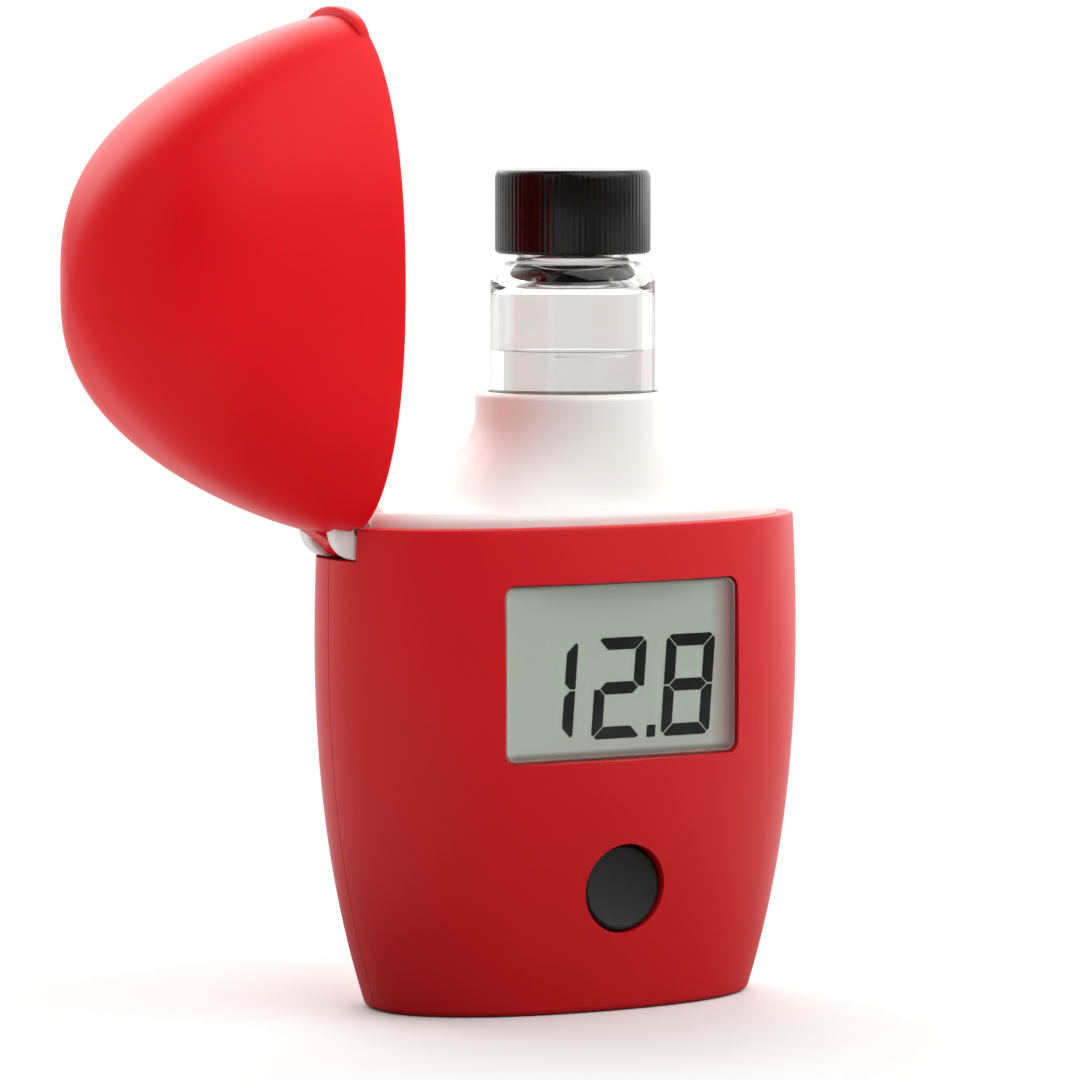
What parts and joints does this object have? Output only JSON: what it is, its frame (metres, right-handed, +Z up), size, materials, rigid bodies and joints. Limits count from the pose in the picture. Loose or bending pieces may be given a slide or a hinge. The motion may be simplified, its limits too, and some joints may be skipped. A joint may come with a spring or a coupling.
{
  "type": "pocket photometer",
  "caption": "Pocket photometer: red case with a display and a button, white shoulder, hinged lid and a capped glass cuvette in its well.",
  "frame": {"origin": "centre of the case's flat base", "axes": "+Z up, -Y out of the display, +X from the hinge towards the thumb tab side"},
  "size_m": [0.0945, 0.0342, 0.1163],
  "materials": {
    "front_shell": "moulded red plastic, satin",
    "rear_shell": "moulded red plastic, satin",
    "shoulder": "moulded white plastic, satin",
    "lid": "moulded red plastic, satin",
    "hinge_pin": "drawn steel wire",
    "display_window": "clear moulded acrylic",
    "lcd_panel": "liquid crystal glass with a reflective back",
    "lcd_frame": "moulded plastic",
    "circuit_board": "glass epoxy laminate with green solder mask",
    "board_chips": "moulded packages",
    "button": "silicone rubber",
    "button_switch": "stamped snap dome",
    "lamp_led": "clear epoxy lamp",
    "light_detector": "moulded detector package",
    "battery": "sleeved steel can",
    "battery_spring": "nickel-plated spring steel",
    "battery_plate": "nickel-plated steel",
    "battery_door": "moulded red plastic, satin",
    "battery_door_screw": "zinc-plated steel",
    "case_screws": "zinc-plated steel",
    "cuvette_well": "black moulded plastic",
    "cuvette_glass": "clear borosilicate glass",
    "cuvette_sample": "clear water sample",
    "cuvette_cap": "black moulded plastic",
    "cap_liner": "foamed sealing disc"
  },
  "bodies": {
    "case": {"front_shell": "front_shell", "rear_shell": "rear_shell", "shoulder": "shoulder", "hinge_pin": "hinge_pin", "display_window": "display_window", "lcd_panel": "lcd_panel", "lcd_frame": "lcd_frame", "circuit_board": "circuit_board", "board_chips": "board_chips", "button_switch": "button_switch", "lamp_led": "lamp_led", "light_detector": "light_detector", "battery": "battery", "battery_spring": "battery_spring", "battery_plate": "battery_plate", "case_screws": "case_screws", "cuvette_well": "cuvette_well"},
    "lid": {"lid": "lid"},
    "cuvette": {"cuvette_glass": "cuvette_glass", "cuvette_sample": "cuvette_sample"},
    "cap_disc": {"cap_liner": "cap_liner"},
    "cap": {"cuvette_cap": "cuvette_cap"},
    "button": {"button": "button"},
    "battery_door": {"battery_door": "battery_door"},
    "door_screw": {"battery_door_screw": "battery_door_screw"}
  },
  "joints": [
    {"name": "lid_hinge", "type": "hinge", "parent": "case", "child": "lid", "pos_m": [-0.0282, 0, 0.0562], "axis": [0, -1, 0], "range_deg": [-90, 0]},
    {"name": "cuvette_slide", "type": "slide", "parent": "case", "child": "cuvette", "axis": [0, 0, -1], "range_m": [0, 0.0155]},
    {"name": "cap_rise", "type": "slide", "parent": "cuvette", "child": "cap_disc", "axis": [0, 0, 1], "range_m": [0, 0.00376]},
    {"name": "cap_turn", "type": "hinge", "parent": "cap_disc", "child": "cap", "pos_m": [0.002, 0, 0.09], "axis": [0, 0, 1], "range_deg": [0, 450]},
    {"name": "button_press", "type": "slide", "parent": "case", "child": "button", "axis": [0, 1, 0], "range_m": [0, 0.0005], "stiffness_N_per_m": 800},
    {"name": "battery_door_slide", "type": "slide", "parent": "case", "child": "battery_door", "axis": [0, 1, 0], "range_m": [0, 0.012]},
    {"name": "door_screw_turn", "type": "hinge", "parent": "battery_door", "child": "door_screw", "pos_m": [0, 0.014, 0.0178], "axis": [0, 1, 0], "range_deg": [0, 1440]}
  ],
  "couplings": [
    {"joint": "cuvette_slide", "follows": "lid_hinge", "m_per_rad": -0.0098},
    {"joint": "cap_rise", "follows": "cap_turn", "m_per_rad": 0.0004775}
  ]
}
